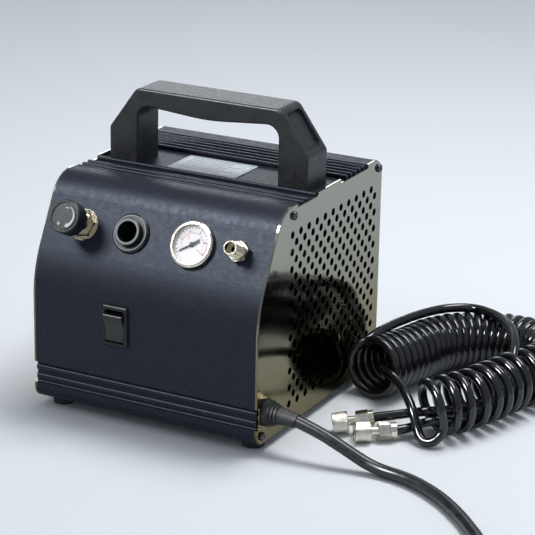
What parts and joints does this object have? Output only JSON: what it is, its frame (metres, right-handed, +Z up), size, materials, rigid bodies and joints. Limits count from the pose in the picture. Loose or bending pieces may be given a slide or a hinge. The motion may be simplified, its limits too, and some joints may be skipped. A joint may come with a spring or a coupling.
{
  "type": "air compressor",
  "caption": "Small portable piston compressor in a case with perforated end plates, handle, regulator, gauge, air outlet, mains cord and coiled air hose.",
  "frame": {"origin": "on the floor, below the middle of the compressor's bounding box, cord and hose left out", "axes": "+Z up; the controls face -Y; +X to the right as the user faces them"},
  "size_m": [0.3955, 0.4503, 0.2017],
  "materials": {
    "case_paint": "fine textured powder coat",
    "polished_steel": "mirror polished",
    "black_plastic": "moulded, satin",
    "gloss_black": "moulded, glossy",
    "rubber": "matt",
    "nickel": "nickel plated",
    "zinc": "zinc plated",
    "steel": "machined",
    "core_steel": "laminated, varnished",
    "copper": "enamelled wire",
    "cast_aluminium": "as cast",
    "brass": "turned",
    "dial_white": "printed",
    "pointer_red": "painted",
    "clear": "clear",
    "label_grey": "printed film",
    "cord_black": "semi-gloss sheath",
    "hose_black": "glossy polyurethane"
  },
  "bodies": {
    "compressor": {"case_shell": "case_paint", "base_plate": "zinc", "end_plate_left": "polished_steel", "end_plate_right": "polished_steel", "end_plate_screws": "zinc", "feet": "rubber", "foot_screws": "zinc", "handle": "black_plastic", "handle_screws": "zinc", "label_plate": "label_grey", "regulator_bonnet": "nickel", "regulator_nut": "nickel", "regulator_body": "brass", "regulator_spring": "steel", "gauge_case": "nickel", "gauge_dial": "dial_white", "gauge_lens": "clear", "outlet_fitting": "nickel", "outlet_locknut": "nickel", "airbrush_holder": "black_plastic", "power_switch": "black_plastic", "motor_stator": "core_steel", "motor_windings": "copper", "motor_bell_left": "cast_aluminium", "motor_bell_right": "cast_aluminium", "motor_bearings": "steel", "crankcase_bracket": "cast_aluminium", "cylinder": "cast_aluminium", "valve_plate": "steel", "cylinder_head": "cast_aluminium", "head_bolts": "zinc", "intake_filter": "black_plastic", "air_tube_delivery": "copper", "air_tube_outlet": "copper", "air_tee": "brass", "motor_cradle": "zinc", "rubber_mounts": "rubber", "run_capacitor": "gloss_black", "mains_gland": "rubber", "mains_cord": "cord_black", "mains_cord_coil": "cord_black", "mains_plug": "rubber", "hose_coil": "hose_black", "hose_over": "hose_black", "hose_bridge": "hose_black", "hose_fittings": "nickel", "hose_lead_a": "hose_black", "hose_lead_b": "hose_black"},
    "regulator_screw": {"adjusting_screw": "steel"},
    "knob": {"regulator_knob": "black_plastic"},
    "gauge_needle": {"gauge_pointer": "pointer_red"},
    "rocker": {"power_rocker": "gloss_black"},
    "rotor": {"motor_rotor": "steel", "motor_shaft": "steel", "cooling_fan": "black_plastic", "crank_web": "steel"},
    "rod": {"connecting_rod": "cast_aluminium"},
    "piston_slider": {"piston": "cast_aluminium"},
    "swivel_nut_a": {"hose_nut_a": "nickel"},
    "swivel_nut_b": {"hose_nut_b": "nickel"}
  },
  "joints": [
    {"name": "regulator_turn", "type": "hinge", "parent": "compressor", "child": "regulator_screw", "pos_m": [-0.0535, -0.0784, 0.13279], "axis": [0, -0.887, 0.4617], "range_deg": [0, 540]},
    {"name": "knob_lock_slide", "type": "slide", "parent": "regulator_screw", "child": "knob", "axis": [0, -0.887, 0.4617], "range_m": [0, 0.0025]},
    {"name": "gauge_needle_turn", "type": "hinge", "parent": "compressor", "child": "gauge_needle", "pos_m": [0.0268, -0.06554, 0.12609], "axis": [0, 0.887, -0.4617], "range_deg": [0, 246]},
    {"name": "power_rocker_tilt", "type": "hinge", "parent": "compressor", "child": "rocker", "pos_m": [-0.02, -0.07666, 0.068], "axis": [-1, 0, 0], "range_deg": [0, 18]},
    {"name": "motor_spin", "type": "hinge", "parent": "compressor", "child": "rotor", "pos_m": [0.01, 0.01134, 0.0602], "axis": [1, 0, 0], "continuous": true},
    {"name": "rod_on_crankpin", "type": "hinge", "parent": "rotor", "child": "rod", "pos_m": [-0.0575, 0.01134, 0.0642], "axis": [1, 0, 0], "continuous": true},
    {"name": "piston_slide", "type": "slide", "parent": "compressor", "child": "piston_slider", "axis": [0, 0, 1], "range_m": [-0.008, 0]},
    {"name": "hose_nut_a_turn", "type": "hinge", "parent": "compressor", "child": "swivel_nut_a", "pos_m": [0.1108, -0.01966, 0.00754], "axis": [0.8758, 0.4502, 0.1737], "continuous": true},
    {"name": "hose_nut_b_turn", "type": "hinge", "parent": "compressor", "child": "swivel_nut_b", "pos_m": [0.1286, -0.02456, 0.00677], "axis": [0.8, 0.6, 0], "continuous": true}
  ],
  "couplings": [
    {"joint": "rod_on_crankpin", "follows": "motor_spin", "ratio": -1}
  ]
}
